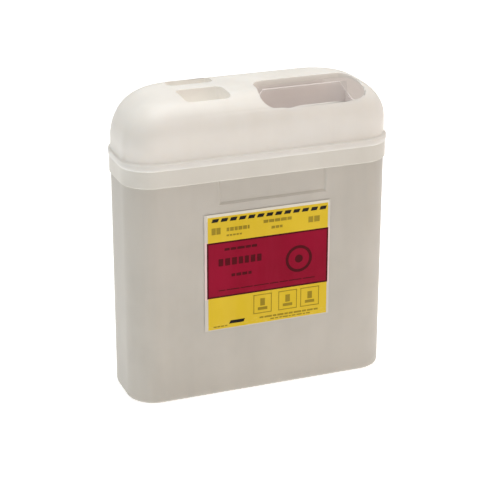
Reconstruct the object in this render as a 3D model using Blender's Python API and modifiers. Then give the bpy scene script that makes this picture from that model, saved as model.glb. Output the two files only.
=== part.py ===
# Sharps container: a thin moulded tub with a snapped-on lid. The lid has a carry grip on its left
# half and a mouth on its right half, under which a counterbalanced drop tray turns.
# Metres, +Z up, origin under the middle of the base, label side towards -Y.
import math

import bmesh
import bpy
from mathutils import Matrix, Vector

# Overall
BODY_WIDTH = 0.269
BODY_DEPTH = 0.100
TUB_HEIGHT = 0.2445
CAP_HEIGHT = 0.0565
FRONT_RADIUS = 0.028
REAR_RADIUS = 0.044
GAP = 0.0003
CUT_MARGIN = 0.001

# Tub
TUB_WALL = 0.002
BASE_RADIUS = 0.004
PANEL_LEFT = -0.0475
PANEL_RIGHT = 0.064
PANEL_DROP = 0.0245
PANEL_DEPTH = 0.0009

# Lid
LID_WALL = 0.002
SKIRT_DROP = 0.021
SKIRT_WALL = 0.0014
BEAD_DROP = 0.004
BEAD_PROUD = 0.0006
BEAD_EDGE = 0.0004
LEFT_SHOULDER = 0.043
RIGHT_SHOULDER = 0.039
FRONT_SHOULDER = 0.031
REAR_SHOULDER = 0.020
FRONT_CORNER_TOP = 0.020
REAR_CORNER_TOP = 0.014

# Mouth
MOUTH_LEFT = 0.006
MOUTH_END_MARGIN = 0.0255
MOUTH_FRONT_MARGIN = 0.0055
MOUTH_REAR_CLEARANCE = 0.003
MOUTH_RADIUS = 0.012
MOUTH_FLANGE = 0.006

# Carry grip: two pockets with a bar between them
GRIP_END_MARGIN = 0.0615
GRIP_LENGTH = 0.046
GRIP_FRONT_MARGIN = 0.018
GRIP_REAR_MARGIN = 0.017
GRIP_REAR_POCKET = 0.0155
GRIP_BAR_DEPTH = 0.0165
GRIP_RADIUS = 0.006
GRIP_DEPTH = 0.020

# Label on the front wall
LABEL_LEFT = -0.0625
LABEL_RIGHT = 0.0685
LABEL_BOTTOM = 0.070
LABEL_TOP = 0.1905
LABEL_THICKNESS = 0.0004
LABEL_RADIUS = 0.006

# Drop tray and its pivot
TRAY_RADIUS = 0.0235
TRAY_WALL = 0.0015
TRAY_SIDE_CLEARANCE = 0.003
TRAY_FRONT_CLEARANCE = 0.002
PIVOT_DROP = 0.035
END_PLATE_FRONT = 0.004
END_PLATE_REAR = 0.017
BACK_FLANGE_TOP = 0.027
BACK_FLANGE_LAP = 0.004
PIN_RADIUS = 0.0025
PIN_COLLAR_RADIUS = 0.0045
PIN_COLLAR = 0.0012
PIN_FIT = 0.0003
BUSH_WALL = 0.0017
BUSH_COLLAR = 0.0010

# Counterweight behind the tray
WEIGHT_THICKNESS = 0.005
WEIGHT_WIDTH = 0.014
WEIGHT_LENGTH = 0.070
WEIGHT_ANGLE = -24.0
RIVET_SPACING = 0.050
RIVET_RADIUS = 0.0018
RIVET_HEAD_RADIUS = 0.0034
RIVET_HEAD = 0.0012

# Cradle that hangs the tray under the lid
CRADLE_WALL = 0.0025
CRADLE_SWING_CLEARANCE = 0.002
CRADLE_REAR_MARGIN = 0.003
CRADLE_ROOF_MARGIN = 0.010
ARM_SIDE_GAP = 0.0035
CRADLE_PROUD = 0.0005
ARM_FRONT = 0.009
ARM_HALF_HEIGHT = 0.0085
WALL_BELOW_FLANGE = 0.005
REST_LENGTH = 0.040
REST_DEPTH = 0.010
REST_CLEARANCE = 0.0006
STAKE_RADIUS = 0.002
STAKE_HEAD_RADIUS = 0.0036
STAKE_HEAD = 0.0016

HEIGHT = TUB_HEIGHT + CAP_HEIGHT
TUB_FRONT = -BODY_DEPTH / 2
SKIRT_BOTTOM = TUB_HEIGHT - SKIRT_DROP
PIVOT_HEIGHT = HEIGHT - PIVOT_DROP
PIVOT_Y = TUB_FRONT + LID_WALL + TRAY_FRONT_CLEARANCE + TRAY_RADIUS
MOUTH_RIGHT = BODY_WIDTH / 2 - MOUTH_END_MARGIN
MOUTH_FRONT = TUB_FRONT + MOUTH_FRONT_MARGIN
MOUTH_REAR = PIVOT_Y + TRAY_RADIUS + MOUTH_REAR_CLEARANCE
GRIP_LEFT = -BODY_WIDTH / 2 + GRIP_END_MARGIN
GRIP_RIGHT = GRIP_LEFT + GRIP_LENGTH
GRIP_FRONT = TUB_FRONT + GRIP_FRONT_MARGIN
GRIP_REAR = BODY_DEPTH / 2 - GRIP_REAR_MARGIN
GRIP_BAR_REAR = GRIP_REAR - GRIP_REAR_POCKET
GRIP_BAR_FRONT = GRIP_BAR_REAR - GRIP_BAR_DEPTH
TRAY_LEFT = MOUTH_LEFT + TRAY_SIDE_CLEARANCE
TRAY_RIGHT = MOUTH_RIGHT - TRAY_SIDE_CLEARANCE
TRAY_MIDDLE = (TRAY_LEFT + TRAY_RIGHT) / 2
LID_UNDERSIDE = HEIGHT - LID_WALL
ROOF_TOP = LID_UNDERSIDE - GAP
BUSH_RADIUS = PIN_RADIUS + PIN_FIT + BUSH_WALL
WEIGHT_REACH = math.hypot(TRAY_RADIUS + GAP + WEIGHT_THICKNESS, WEIGHT_WIDTH / 2)
CRADLE_LEFT = TRAY_LEFT - ARM_SIDE_GAP
CRADLE_RIGHT = TRAY_RIGHT + ARM_SIDE_GAP
CRADLE_FRONT = PIVOT_Y + WEIGHT_REACH + CRADLE_SWING_CLEARANCE
CRADLE_REAR = CRADLE_FRONT + CRADLE_WALL
ROOF_LEFT = CRADLE_LEFT + CRADLE_ROOF_MARGIN
ROOF_RIGHT = BODY_WIDTH / 2 - RIGHT_SHOULDER - CRADLE_ROOF_MARGIN
ROOF_REAR = BODY_DEPTH / 2 - REAR_SHOULDER - CRADLE_REAR_MARGIN

for old in list(bpy.data.objects):
    bpy.data.objects.remove(old, do_unlink=True)

parts = bpy.data.collections.new("sharps_container")
guides = bpy.data.collections.new("cutters")
bpy.context.scene.collection.children.link(parts)
bpy.context.scene.collection.children.link(guides)


def material(name, colour, roughness, metallic=0.0):
    made = bpy.data.materials.new(name)
    made.use_nodes = True
    shader = made.node_tree.nodes["Principled BSDF"]
    shader.inputs["Base Color"].default_value = (*colour, 1.0)
    shader.inputs["Roughness"].default_value = roughness
    shader.inputs["Metallic"].default_value = metallic
    return made


def add_object(name, mesh, shade=None):
    made = bpy.data.objects.new(name, mesh)
    if shade is None:
        guides.objects.link(made)
        made.hide_render = True
        made.display_type = "WIRE"
    else:
        parts.objects.link(made)
        mesh.materials.append(shade)
        mesh.shade_smooth()
        mesh.set_sharp_from_angle(angle=math.radians(35))
    return made


def finish_mesh(name, bm):
    bmesh.ops.recalc_face_normals(bm, faces=bm.faces)
    mesh = bpy.data.meshes.new(name)
    bm.to_mesh(mesh)
    bm.free()
    return mesh


def place_on_pivot(piece):
    """Moves an object's origin onto the tray's axis without moving its shape."""
    pivot = Vector((TRAY_MIDDLE, PIVOT_Y, PIVOT_HEIGHT))
    piece.data.transform(Matrix.Translation(-pivot))
    piece.location = pivot


def box(low, high, radius=0.0, steps=6, along=2):
    """Box between two corners, with the four edges along one axis rounded."""
    bm = bmesh.new()
    size = Vector(high) - Vector(low)
    middle = (Vector(high) + Vector(low)) / 2
    place = Matrix.Translation(middle) @ Matrix.Diagonal((*size, 1.0))
    bmesh.ops.create_cube(bm, size=1.0, matrix=place)
    if radius > 0:
        rounded = [
            e for e in bm.edges
            if abs(e.verts[0].co[along] - e.verts[1].co[along]) > size[along] / 2
        ]
        bmesh.ops.bevel(
            bm, geom=rounded, offset=radius, offset_type="OFFSET",
            affect="EDGES", segments=steps, profile=0.5, material=-1,
        )
    return bm


def rod(start, end, radius, segments=20):
    """Cylinder between two points."""
    bm = bmesh.new()
    axis = Vector(end) - Vector(start)
    turn = Vector((0, 0, 1)).rotation_difference(axis).to_matrix().to_4x4()
    place = Matrix.Translation((Vector(start) + Vector(end)) / 2) @ turn
    bmesh.ops.create_cone(
        bm, cap_ends=True, segments=segments, radius1=radius, radius2=radius,
        depth=axis.length, matrix=place,
    )
    return bm


def combine(target, cutter, operation):
    modifier = target.modifiers.new(operation.lower() + "_" + cutter.name, "BOOLEAN")
    modifier.operation = operation
    modifier.solver = "EXACT"
    modifier.object = cutter


def cut(target, bm, name):
    cutter = add_object(name, finish_mesh(name, bm))
    combine(target, cutter, "DIFFERENCE")
    return cutter


def fuse(target, bm, name):
    combine(target, add_object(name, finish_mesh(name, bm)), "UNION")


def rounded_outline(left, right, front, rear, front_radius, rear_radius, z, steps=8):
    """Points of a rounded rectangle at height z, anticlockwise from above."""
    corners = (
        (right - front_radius, front + front_radius, front_radius, -90),
        (right - rear_radius, rear - rear_radius, rear_radius, 0),
        (left + rear_radius, rear - rear_radius, rear_radius, 90),
        (left + front_radius, front + front_radius, front_radius, 180),
    )
    points = []
    for x, y, radius, start in corners:
        for step in range(steps + 1):
            angle = math.radians(start + 90 * step / steps)
            points.append((x + radius * math.cos(angle), y + radius * math.sin(angle), z))
    return points


def band_ring(outset, z):
    """Outline of the tub grown by outset."""
    half_x = BODY_WIDTH / 2 + outset
    half_y = BODY_DEPTH / 2 + outset
    return rounded_outline(
        -half_x, half_x, -half_y, half_y, FRONT_RADIUS + outset, REAR_RADIUS + outset, z
    )


def shoulder_inset(radius, below_top):
    """How far a round shoulder has come in at a depth below the top."""
    if below_top >= radius:
        return 0.0
    return radius - math.sqrt(radius ** 2 - (radius - below_top) ** 2)


def cap_ring(wall, below_top):
    """Outline of the lid's loaf, or of its inner face when wall is its thickness."""
    left = -BODY_WIDTH / 2 + wall + shoulder_inset(LEFT_SHOULDER - wall, below_top)
    right = BODY_WIDTH / 2 - wall - shoulder_inset(RIGHT_SHOULDER - wall, below_top)
    front = -BODY_DEPTH / 2 + wall + shoulder_inset(FRONT_SHOULDER - wall, below_top)
    rear = BODY_DEPTH / 2 - wall - shoulder_inset(REAR_SHOULDER - wall, below_top)
    rise = 1 - min(1.0, below_top / LEFT_SHOULDER)
    front_radius = FRONT_RADIUS - wall + (FRONT_CORNER_TOP - FRONT_RADIUS) * rise ** 1.5
    rear_radius = REAR_RADIUS - wall + (REAR_CORNER_TOP - REAR_RADIUS) * rise ** 1.5
    z = HEIGHT - wall - below_top
    return rounded_outline(left, right, front, rear, front_radius, rear_radius, z)


def cap_rings(wall, steps=12):
    span = LEFT_SHOULDER - wall
    return [
        cap_ring(wall, span * (1 - math.sin(math.radians(90 * step / steps))))
        for step in range(steps + 1)
    ]


def loft(rings):
    """Closed solid through outlines that have the same number of points."""
    bm = bmesh.new()
    rows = [[bm.verts.new(point) for point in ring] for ring in rings]
    count = len(rows[0])
    for low, high in zip(rows, rows[1:]):
        for i in range(count):
            bm.faces.new((low[i], low[(i + 1) % count], high[(i + 1) % count], high[i]))
    bm.faces.new(rows[0])
    bm.faces.new(rows[-1])
    return bm


# Materials
pearl = material("pearl_polypropylene", (0.50, 0.47, 0.43), 0.42)
lid_white = material("lid_polypropylene", (0.76, 0.73, 0.67), 0.40)
tray_white = material("tray_polypropylene", (0.62, 0.58, 0.54), 0.45)
label_paper = material("label_film", (0.72, 0.53, 0.04), 0.35)
steel = material("zinc_plated_steel", (0.55, 0.56, 0.57), 0.35, 1.0)
acetal = material("acetal", (0.82, 0.81, 0.78), 0.35)


def build_tub():
    bm = bmesh.new()
    size = Vector((BODY_WIDTH, BODY_DEPTH, TUB_HEIGHT))
    place = Matrix.Translation((0, 0, TUB_HEIGHT / 2)) @ Matrix.Diagonal((*size, 1.0))
    bmesh.ops.create_cube(bm, size=1.0, matrix=place)
    top = [f for f in bm.faces if f.normal.z > 0.9]
    bmesh.ops.delete(bm, geom=top, context="FACES_ONLY")
    for radius, side in ((FRONT_RADIUS, -1), (REAR_RADIUS, 1)):
        upright = [
            e for e in bm.edges
            if abs(e.verts[0].co.z - e.verts[1].co.z) > TUB_HEIGHT / 2
            and side * e.verts[0].co.y > BODY_DEPTH / 2 - GAP
        ]
        bmesh.ops.bevel(
            bm, geom=upright, offset=radius, offset_type="OFFSET",
            affect="EDGES", segments=8, profile=0.5, material=-1,
        )
    base = [e for e in bm.edges if max(v.co.z for v in e.verts) < TUB_HEIGHT / 100]
    bmesh.ops.bevel(
        bm, geom=base, offset=BASE_RADIUS, offset_type="OFFSET",
        affect="EDGES", segments=4, profile=0.5, material=-1,
    )
    tub = add_object("container_body", finish_mesh("container_body", bm), pearl)
    wall = tub.modifiers.new("wall", "SOLIDIFY")
    wall.thickness = TUB_WALL
    wall.offset = -1
    wall.use_even_offset = True
    cut(
        tub,
        box(
            (PANEL_LEFT, TUB_FRONT - CUT_MARGIN, SKIRT_BOTTOM - PANEL_DROP),
            (PANEL_RIGHT, TUB_FRONT + PANEL_DEPTH, SKIRT_BOTTOM + SKIRT_DROP / 4),
        ),
        "panel_cutter",
    )


def build_lid():
    skirt = GAP + SKIRT_WALL
    bead = skirt + BEAD_PROUD
    bead_bottom = TUB_HEIGHT - BEAD_DROP
    bead_top = TUB_HEIGHT + GAP + LID_WALL
    bead_middle = (bead_bottom + bead_top) / 2
    bead_half = (bead_top - bead_bottom) / 2
    outer = [
        band_ring(skirt, SKIRT_BOTTOM),
        band_ring(skirt, bead_bottom - 2 * BEAD_EDGE),
        band_ring(bead - BEAD_PROUD / 2, bead_bottom),
        band_ring(bead, bead_middle - bead_half / 2),
        band_ring(bead, bead_middle + bead_half / 2),
        band_ring(skirt, bead_top - BEAD_EDGE),
        band_ring(skirt / 2, bead_top + BEAD_EDGE / 2),
    ]
    inner = [
        band_ring(GAP, SKIRT_BOTTOM - CUT_MARGIN),
        band_ring(GAP, TUB_HEIGHT + GAP),
        band_ring(-LID_WALL, TUB_HEIGHT + GAP),
    ]
    lid = add_object("lid_cap", finish_mesh("lid_cap", loft(outer + cap_rings(0.0))), lid_white)
    hollow = add_object("lid_hollow", finish_mesh("lid_hollow", loft(inner + cap_rings(LID_WALL))))
    above = HEIGHT + CUT_MARGIN
    pockets = (
        ("grip_front", GRIP_FRONT, GRIP_BAR_FRONT),
        ("grip_rear", GRIP_BAR_REAR, GRIP_REAR),
    )
    cut(
        hollow,
        box(
            (MOUTH_LEFT - LID_WALL, MOUTH_FRONT - LID_WALL, HEIGHT - MOUTH_FLANGE),
            (MOUTH_RIGHT + LID_WALL, MOUTH_REAR + LID_WALL, above),
            MOUTH_RADIUS + LID_WALL,
        ),
        "mouth_surround",
    )
    for name, front, rear in pockets:
        cut(
            hollow,
            box(
                (GRIP_LEFT - LID_WALL, front - LID_WALL, HEIGHT - GRIP_DEPTH - LID_WALL),
                (GRIP_RIGHT + LID_WALL, rear + LID_WALL, above),
                GRIP_RADIUS + LID_WALL,
            ),
            name + "_surround",
        )
    combine(lid, hollow, "DIFFERENCE")
    cut(
        lid,
        box(
            (MOUTH_LEFT, MOUTH_FRONT, HEIGHT - FRONT_SHOULDER),
            (MOUTH_RIGHT, MOUTH_REAR, above),
            MOUTH_RADIUS,
        ),
        "mouth_cutter",
    )
    for name, front, rear in pockets:
        cut(
            lid,
            box((GRIP_LEFT, front, HEIGHT - GRIP_DEPTH), (GRIP_RIGHT, rear, above), GRIP_RADIUS),
            name + "_cutter",
        )


def build_label():
    label = box(
        (LABEL_LEFT, TUB_FRONT - GAP - LABEL_THICKNESS, LABEL_BOTTOM),
        (LABEL_RIGHT, TUB_FRONT - GAP, LABEL_TOP),
        LABEL_RADIUS, along=1,
    )
    add_object("front_label", finish_mesh("front_label", label), label_paper)


def weight_point(radial, tangential, x):
    """Point at a distance from the tray's axis, in the counterweight's own directions."""
    angle = math.radians(WEIGHT_ANGLE)
    y = PIVOT_Y + radial * math.cos(angle) - tangential * math.sin(angle)
    z = PIVOT_HEIGHT + radial * math.sin(angle) + tangential * math.cos(angle)
    return Vector((x, y, z))


def tray_outline(steps=16):
    """Side view of the trough: a half drum with end plates that rise to the rear."""
    arc = [math.radians(180 + 180 * step / steps) for step in range(steps + 1)]
    points = [(TRAY_RADIUS * math.cos(a), TRAY_RADIUS * math.sin(a)) for a in arc]
    points.append((TRAY_RADIUS, END_PLATE_REAR))
    points.append((-TRAY_RADIUS, END_PLATE_FRONT))
    return points


def build_tray():
    bm = bmesh.new()
    outline = [
        bm.verts.new((TRAY_LEFT, PIVOT_Y + y, PIVOT_HEIGHT + z)) for y, z in tray_outline()
    ]
    side = bm.faces.new(outline)
    grown = bmesh.ops.extrude_face_region(bm, geom=[side], use_keep_orig=True)
    far = [v for v in grown["geom"] if isinstance(v, bmesh.types.BMVert)]
    bmesh.ops.translate(bm, verts=far, vec=(TRAY_RIGHT - TRAY_LEFT, 0, 0))
    bmesh.ops.recalc_face_normals(bm, faces=bm.faces)
    top = [f for f in bm.faces if f.normal.z > 0.5]
    bmesh.ops.delete(bm, geom=top, context="FACES_ONLY")
    mesh = bpy.data.meshes.new("drop_tray")
    bm.to_mesh(mesh)
    bm.free()
    tray = add_object("drop_tray", mesh, tray_white)
    wall = tray.modifiers.new("wall", "SOLIDIFY")
    wall.thickness = TRAY_WALL
    wall.offset = -1
    wall.use_even_offset = True
    rear = PIVOT_Y + TRAY_RADIUS
    lap = PIVOT_HEIGHT + END_PLATE_REAR - BACK_FLANGE_LAP
    fuse(
        tray,
        box(
            (TRAY_LEFT + MOUTH_RADIUS, rear - TRAY_WALL, lap),
            (TRAY_RIGHT - MOUTH_RADIUS, rear, PIVOT_HEIGHT + BACK_FLANGE_TOP),
        ),
        "back_flange",
    )
    place_on_pivot(tray)
    return tray


def build_weight(tray):
    inner = TRAY_RADIUS + GAP
    bm = bmesh.new()
    turn = Matrix.Rotation(math.radians(WEIGHT_ANGLE), 4, "X")
    centre = weight_point(inner + WEIGHT_THICKNESS / 2, 0, TRAY_MIDDLE)
    size = Matrix.Diagonal((WEIGHT_LENGTH, WEIGHT_THICKNESS, WEIGHT_WIDTH, 1.0))
    bmesh.ops.create_cube(bm, size=1.0, matrix=Matrix.Translation(centre) @ turn @ size)
    weight = add_object("tray_counterweight", finish_mesh("tray_counterweight", bm), steel)
    place_on_pivot(weight)

    outside = inner + WEIGHT_THICKNESS + GAP
    inside = TRAY_RADIUS - TRAY_WALL - 2 * GAP
    for name, side in (("left", -1), ("right", 1)):
        x = TRAY_MIDDLE + side * RIVET_SPACING / 2
        bore = rod(
            weight_point(inside - RIVET_HEAD, 0, x), weight_point(outside + RIVET_HEAD, 0, x),
            RIVET_RADIUS + GAP,
        )
        combine(weight, cut(tray, bore, "rivet_bore_" + name), "DIFFERENCE")
        rivet_name = "weight_rivet_" + name
        shank = rod(weight_point(inside, 0, x), weight_point(outside, 0, x), RIVET_RADIUS)
        rivet = add_object(rivet_name, finish_mesh(rivet_name, shank), steel)
        for start, end in ((inside - RIVET_HEAD, inside), (outside, outside + RIVET_HEAD)):
            head = rod(weight_point(start, 0, x), weight_point(end, 0, x), RIVET_HEAD_RADIUS)
            fuse(rivet, head, "rivet_head_" + name)
        place_on_pivot(rivet)


def build_cradle():
    """Rear wall, roof and two arms, with the bores for the bushes and a rest for the weight."""
    low = PIVOT_HEIGHT - ARM_HALF_HEIGHT
    high = HEIGHT - MOUTH_FLANGE - WALL_BELOW_FLANGE
    half_wall = CRADLE_WALL / 2
    rest_left = TRAY_MIDDLE - REST_LENGTH / 2
    rest_right = TRAY_MIDDLE + REST_LENGTH / 2
    rest_top = weight_point(TRAY_RADIUS + GAP + WEIGHT_THICKNESS, -WEIGHT_WIDTH / 2, 0).z
    rest_top -= REST_CLEARANCE
    rest_bottom = rest_top - CRADLE_WALL

    # Rear wall in one outline: shoulders behind the arms, a neck up to the roof, a leg to the rest
    outline = (
        (CRADLE_LEFT - half_wall, low),
        (rest_left + CRADLE_PROUD, low),
        (rest_left + CRADLE_PROUD, rest_bottom + half_wall),
        (rest_right - CRADLE_PROUD, rest_bottom + half_wall),
        (rest_right - CRADLE_PROUD, low),
        (CRADLE_RIGHT + half_wall, low),
        (CRADLE_RIGHT + half_wall, high),
        (ROOF_RIGHT - CRADLE_PROUD, high),
        (ROOF_RIGHT - CRADLE_PROUD, ROOF_TOP - half_wall),
        (ROOF_LEFT + CRADLE_PROUD, ROOF_TOP - half_wall),
        (ROOF_LEFT + CRADLE_PROUD, high),
        (CRADLE_LEFT - half_wall, high),
    )
    wall = bmesh.new()
    front = wall.faces.new([wall.verts.new((x, CRADLE_FRONT, z)) for x, z in outline])
    grown = bmesh.ops.extrude_face_region(wall, geom=[front], use_keep_orig=True)
    back = [v for v in grown["geom"] if isinstance(v, bmesh.types.BMVert)]
    bmesh.ops.translate(wall, verts=back, vec=(0, CRADLE_WALL, 0))
    cradle = add_object("tray_cradle", finish_mesh("tray_cradle", wall), acetal)

    roof = box(
        (ROOF_LEFT, CRADLE_FRONT - CRADLE_PROUD, ROOF_TOP - CRADLE_WALL),
        (ROOF_RIGHT, ROOF_REAR, ROOF_TOP),
    )
    fuse(cradle, roof, "cradle_roof")
    rest = box(
        (rest_left, CRADLE_REAR - REST_DEPTH, rest_bottom),
        (rest_right, CRADLE_REAR + CRADLE_PROUD, rest_top),
    )
    fuse(cradle, rest, "weight_rest")
    for name, inner, outward in (("left", CRADLE_LEFT, -1), ("right", CRADLE_RIGHT, 1)):
        outer = inner + outward * CRADLE_WALL
        arm = box(
            (min(inner, outer), PIVOT_Y - ARM_FRONT, low - CRADLE_PROUD),
            (max(inner, outer), CRADLE_REAR + CRADLE_PROUD, PIVOT_HEIGHT + ARM_HALF_HEIGHT),
        )
        fuse(cradle, arm, "arm_" + name)
        bore = rod(
            (inner - outward * CRADLE_WALL, PIVOT_Y, PIVOT_HEIGHT),
            (outer + outward * CRADLE_WALL, PIVOT_Y, PIVOT_HEIGHT),
            BUSH_RADIUS + GAP, segments=32,
        )
        cut(cradle, bore, "bush_seat_" + name)
    return cradle


def build_stakes(cradle):
    """Four posts of the lid that pass through the cradle's roof, each spread into a head below."""
    y = (CRADLE_REAR + ROOF_REAR) / 2
    roof_bottom = ROOF_TOP - CRADLE_WALL
    head_top = roof_bottom - GAP
    inset = 2 * STAKE_HEAD_RADIUS
    pitch = (ROOF_RIGHT - ROOF_LEFT - 2 * inset) / 3
    for i in range(4):
        x = ROOF_LEFT + inset + i * pitch
        bore = rod((x, y, roof_bottom - CUT_MARGIN), (x, y, ROOF_TOP + GAP / 2), STAKE_RADIUS + GAP)
        cut(cradle, bore, f"stake_bore_{i + 1}")
        name = f"cradle_stake_{i + 1}"
        post = rod((x, y, head_top), (x, y, ROOF_TOP), STAKE_RADIUS)
        stake = add_object(name, finish_mesh(name, post), lid_white)
        head = rod((x, y, head_top - STAKE_HEAD), (x, y, head_top), STAKE_HEAD_RADIUS)
        fuse(stake, head, f"stake_head_{i + 1}")


def build_pivot(side, tray_end, outward):
    """Pin on the tray's end plate, and the bush in the cradle's arm that it turns in."""
    arm_inner = tray_end + outward * ARM_SIDE_GAP
    arm_outer = arm_inner + outward * CRADLE_WALL

    def on_axis(x):
        return (x, PIVOT_Y, PIVOT_HEIGHT)

    start = tray_end + outward * GAP
    pin_name = "pivot_pin_" + side
    shank = rod(
        on_axis(start + outward * PIN_COLLAR / 2), on_axis(arm_outer + outward * PIN_COLLAR),
        PIN_RADIUS, segments=32,
    )
    pin = add_object(pin_name, finish_mesh(pin_name, shank), steel)
    collar = rod(
        on_axis(start), on_axis(start + outward * PIN_COLLAR), PIN_COLLAR_RADIUS, segments=32
    )
    fuse(pin, collar, "pin_collar_" + side)
    pin.data.transform(Matrix.Translation(-Vector(on_axis(start))))
    pin.location = on_axis(start)

    bush_name = "pivot_bush_" + side
    rim_inner = arm_inner - outward * GAP
    sleeve = rod(
        on_axis(rim_inner - outward * BUSH_COLLAR / 2), on_axis(arm_outer),
        BUSH_RADIUS, segments=32,
    )
    bush = add_object(bush_name, finish_mesh(bush_name, sleeve), acetal)
    flange = rod(
        on_axis(rim_inner - outward * BUSH_COLLAR), on_axis(rim_inner),
        BUSH_RADIUS + 2 * GAP + BUSH_COLLAR, segments=32,
    )
    fuse(bush, flange, "bush_flange_" + side)
    bore = rod(
        on_axis(rim_inner - outward * 2 * BUSH_COLLAR), on_axis(arm_outer + outward * BUSH_COLLAR),
        PIN_RADIUS + PIN_FIT, segments=32,
    )
    cut(bush, bore, "bush_bore_cutter_" + side)


build_tub()
build_lid()
build_label()
build_weight(build_tray())
build_stakes(build_cradle())
build_pivot("left", TRAY_LEFT, -1)
build_pivot("right", TRAY_RIGHT, 1)
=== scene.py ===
import math
import random

import bmesh
import bpy
from mathutils import Matrix, Vector


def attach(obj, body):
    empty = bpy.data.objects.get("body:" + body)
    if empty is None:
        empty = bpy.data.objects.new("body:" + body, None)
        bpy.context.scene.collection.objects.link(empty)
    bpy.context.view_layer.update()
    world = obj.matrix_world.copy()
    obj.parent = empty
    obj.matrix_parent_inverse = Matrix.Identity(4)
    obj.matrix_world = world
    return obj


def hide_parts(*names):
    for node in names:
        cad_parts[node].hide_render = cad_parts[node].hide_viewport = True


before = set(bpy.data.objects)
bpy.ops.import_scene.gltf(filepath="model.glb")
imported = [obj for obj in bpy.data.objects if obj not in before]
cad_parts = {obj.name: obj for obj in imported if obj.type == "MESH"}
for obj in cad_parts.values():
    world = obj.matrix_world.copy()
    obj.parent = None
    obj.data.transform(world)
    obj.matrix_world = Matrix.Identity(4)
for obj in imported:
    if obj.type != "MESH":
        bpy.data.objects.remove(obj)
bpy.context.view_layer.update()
print("frame loaded:", len(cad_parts), "nodes")

scene = bpy.context.scene
mm = 0.001

# sizes that several pieces share, in metres
shared = {
    "width": 0.269,
    "depth": 0.100,
    "height": 0.301,
    "rim": 0.2445,
    "frontRadius": 0.028,
    "rearRadius": 0.044,
    "gap": 0.0003,
    "pivot": Vector((0.0575, -0.0225, 0.266)),
    "skirtBottom": 0.2235,
}

# camera
camera = {
    "place": (-0.55249, -1.41503, 0.72936),
    "yaw": 21.097,  # degrees to the right of straight ahead
    "pitch": 21.236,  # degrees down
    "lens": 122.52,
    "sensor": 36.0,
    "farthest": 40.0,
}


def makeCamera():
    data = bpy.data.cameras.new("mainCamera")
    data.lens = camera["lens"]
    data.sensor_width = camera["sensor"]
    data.clip_end = camera["farthest"]
    made = bpy.data.objects.new("mainCamera", data)
    made.location = camera["place"]
    made.rotation_euler = (
        math.radians(90 - camera["pitch"]), 0.0, math.radians(-camera["yaw"])
    )
    scene.collection.objects.link(made)
    scene.camera = made


makeCamera()
print("camera placed")


# shader groups
def newGroup(name, inputs, outputs):
    group = bpy.data.node_groups.new(name, "ShaderNodeTree")
    for socket, kind, value in inputs:
        made = group.interface.new_socket(name=socket, in_out="INPUT", socket_type=kind)
        made.default_value = value
    for socket, kind in outputs:
        group.interface.new_socket(name=socket, in_out="OUTPUT", socket_type=kind)
    start = group.nodes.new("NodeGroupInput")
    end = group.nodes.new("NodeGroupOutput")
    return group, start, end


def mathNode(tree, operation, a, b=None, clamp=False):
    node = tree.nodes.new("ShaderNodeMath")
    node.operation = operation
    node.use_clamp = clamp
    for socket, value in zip(node.inputs, (a, b)):
        if value is None:
            continue
        if isinstance(value, (int, float)):
            socket.default_value = value
        else:
            tree.links.new(value, socket)
    return node.outputs[0]


def noiseNode(tree, vector, scale, detail=3.0, roughness=0.55):
    node = tree.nodes.new("ShaderNodeTexNoise")
    node.inputs["Detail"].default_value = detail
    node.inputs["Roughness"].default_value = roughness
    if isinstance(scale, (int, float)):
        node.inputs["Scale"].default_value = scale
    else:
        tree.links.new(scale, node.inputs["Scale"])
    tree.links.new(vector, node.inputs["Vector"])
    return node.outputs["Fac"]


def spread(tree, value, low, high):
    node = tree.nodes.new("ShaderNodeMapRange")
    node.interpolation_type = "SMOOTHSTEP"
    node.inputs["From Min"].default_value = low
    node.inputs["From Max"].default_value = high
    tree.links.new(value, node.inputs["Value"])
    return node.outputs["Result"]


def stretched(tree, vector, scale):
    node = tree.nodes.new("ShaderNodeMapping")
    node.inputs["Scale"].default_value = scale
    tree.links.new(vector, node.inputs["Vector"])
    return node.outputs["Vector"]


grainValues = {
    "fineShare": 0.4,
    "slowScale": 26.0,
    "slowShare": 0.6,
    "cloudScale": 15.0,
    "cloudRange": (0.32, 0.68),
    "flowScale": 60.0,
    "flowStretch": (1.0, 1.0, 0.16),
    "flowRange": (0.35, 0.65),
}


def makeMouldGrain():
    # height of a spark-eroded mould texture, and the slow cloudiness of thin polypropylene
    group, start, end = newGroup(
        "mouldGrain",
        (("Vector", "NodeSocketVector", (0, 0, 0)), ("Grain Scale", "NodeSocketFloat", 900.0)),
        (("Height", "NodeSocketFloat"), ("Cloud", "NodeSocketFloat"), ("Flow", "NodeSocketFloat")),
    )
    vector = start.outputs["Vector"]
    fine = noiseNode(group, vector, start.outputs["Grain Scale"], 2.0)
    slow = noiseNode(group, vector, grainValues["slowScale"], 2.0)
    wavy = mathNode(group, "MULTIPLY", slow, grainValues["slowShare"])
    sharp = mathNode(group, "MULTIPLY", fine, grainValues["fineShare"])
    height = mathNode(group, "ADD", sharp, wavy)
    cloud = noiseNode(group, vector, grainValues["cloudScale"])
    cloud = spread(group, cloud, *grainValues["cloudRange"])
    flow = stretched(group, vector, grainValues["flowStretch"])
    flow = noiseNode(group, flow, grainValues["flowScale"])
    flow = spread(group, flow, *grainValues["flowRange"])
    group.links.new(height, end.inputs["Height"])
    group.links.new(cloud, end.inputs["Cloud"])
    group.links.new(flow, end.inputs["Flow"])
    return group


wearValues = {
    "scuffScale": 160.0,
    "scuffStretch": (1.0, 1.0, 7.0),
    "scuffRange": (0.52, 0.72),
    "speckScale": 420.0,
    "speckRange": (0.56, 0.78),
    "upRange": (0.75, 1.0),  # how far a face looks up before dust lies on it
}


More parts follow.
